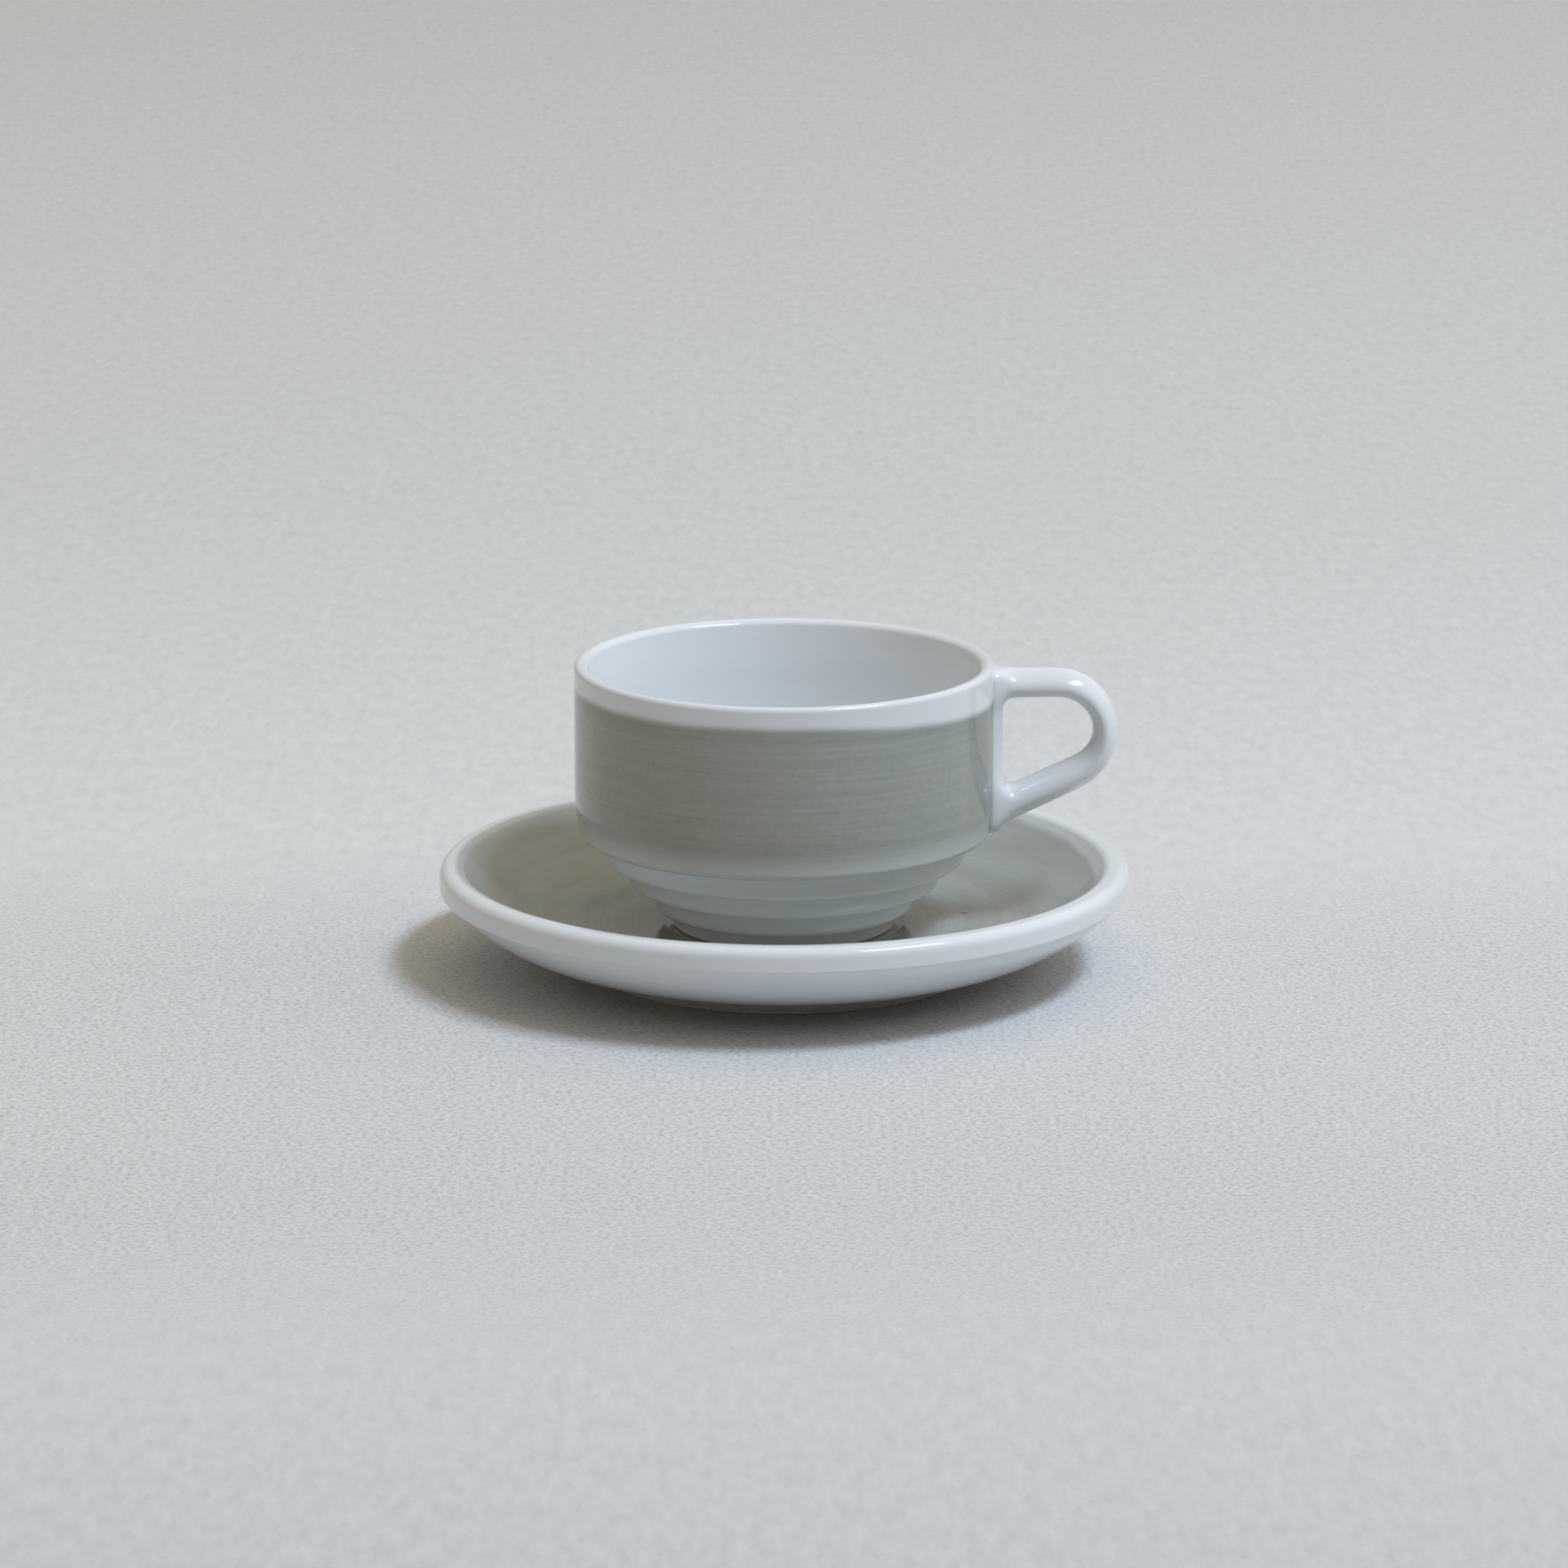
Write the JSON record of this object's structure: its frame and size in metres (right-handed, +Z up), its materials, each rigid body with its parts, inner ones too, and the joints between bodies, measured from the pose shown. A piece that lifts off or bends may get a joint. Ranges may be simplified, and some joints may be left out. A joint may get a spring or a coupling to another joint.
{
  "type": "cup and saucer",
  "caption": "Straight-walled cortado cup with a stepped foot and a loop handle, resting in the shallow well of its rolled-rim saucer, both with a brushed green-grey band.",
  "frame": {"origin": "on the cup's axis, in the plane that the saucer's foot ring stands on", "axes": "+Z up along the cup's axis; +X from the axis towards the handle"},
  "size_m": [0.132, 0.132, 0.0594],
  "materials": {
    "banded_saucer_porcelain": "gloss",
    "banded_cup_porcelain": "gloss",
    "white_porcelain": "gloss"
  },
  "bodies": {
    "saucer": {"saucer": "banded_saucer_porcelain"},
    "cup": {"cup_body": "banded_cup_porcelain", "handle": "white_porcelain"}
  },
  "joints": [
    {"name": "cup_lift", "type": "slide", "parent": "saucer", "child": "cup", "axis": [0, 0, 1], "range_m": [0, 0.1]}
  ]
}
